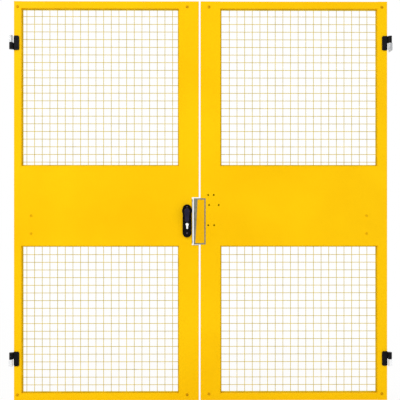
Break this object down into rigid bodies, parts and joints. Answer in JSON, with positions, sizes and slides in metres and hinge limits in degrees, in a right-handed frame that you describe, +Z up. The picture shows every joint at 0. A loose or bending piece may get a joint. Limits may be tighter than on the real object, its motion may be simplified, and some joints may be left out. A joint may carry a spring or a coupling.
{
  "type": "mesh partition double door",
  "caption": "Double door of a mesh partition: framed steel leaves with welded mesh windows and a solid middle panel, on pintle hinges, with a lever lock and a strike across the gap.",
  "frame": {"origin": "on the post's face of the lower left bracket, midway between its two bolt holes", "axes": "+X across the door from the left post to the right post, +Y from front to back, +Z up"},
  "size_m": [1.988, 0.134, 2.073],
  "materials": {
    "yellow_coat": "satin powder coat",
    "yellow_mesh": "satin powder coat",
    "black_hinge": "black, satin",
    "black_plastic": "moulded, satin",
    "plated_steel": "zinc plated",
    "lock_steel": "zinc plated, dull"
  },
  "bodies": {
    "post_brackets": {"upper_left_post_bracket": "plated_steel", "lower_left_post_bracket": "plated_steel", "upper_right_post_bracket": "plated_steel", "lower_right_post_bracket": "plated_steel"},
    "left_leaf": {"left_hinge_stile": "yellow_coat", "left_top_rail": "yellow_coat", "left_bottom_rail": "yellow_coat", "left_middle_panel": "yellow_coat", "left_upper_mesh": "yellow_mesh", "left_lower_mesh": "yellow_mesh", "left_upper_hinge": "black_hinge", "left_lower_hinge": "black_hinge", "left_upper_meeting_stile": "yellow_coat", "left_lock_housing": "yellow_coat", "left_lower_meeting_stile": "yellow_coat", "lock_case": "lock_steel", "lock_forend": "lock_steel", "latch_bolt": "plated_steel", "dead_bolt": "plated_steel", "front_escutcheon": "black_plastic", "back_escutcheon": "black_plastic"},
    "right_leaf": {"right_hinge_stile": "yellow_coat", "right_top_rail": "yellow_coat", "right_bottom_rail": "yellow_coat", "right_middle_panel": "yellow_coat", "right_upper_mesh": "yellow_mesh", "right_lower_mesh": "yellow_mesh", "right_upper_hinge": "black_hinge", "right_lower_hinge": "black_hinge", "right_meeting_stile": "yellow_coat", "strike_box": "lock_steel", "strike_cover": "yellow_coat"},
    "lever_set": {"front_lever": "black_plastic", "back_lever": "black_plastic"}
  },
  "joints": [
    {"name": "left_leaf_swing", "type": "hinge", "parent": "post_brackets", "child": "left_leaf", "pos_m": [0.0135, -0.031, 0.0186], "axis": [0, 0, -1], "range_deg": [0, 180]},
    {"name": "right_leaf_swing", "type": "hinge", "parent": "post_brackets", "child": "right_leaf", "pos_m": [1.9745, -0.031, 0.0186], "axis": [0, 0, 1], "range_deg": [0, 180]},
    {"name": "lever_turn", "type": "hinge", "parent": "left_leaf", "child": "lever_set", "pos_m": [0.9225, 0, 0.7866], "axis": [0, 1, 0], "range_deg": [0, 45], "stiffness_Nm_per_rad": 1}
  ]
}
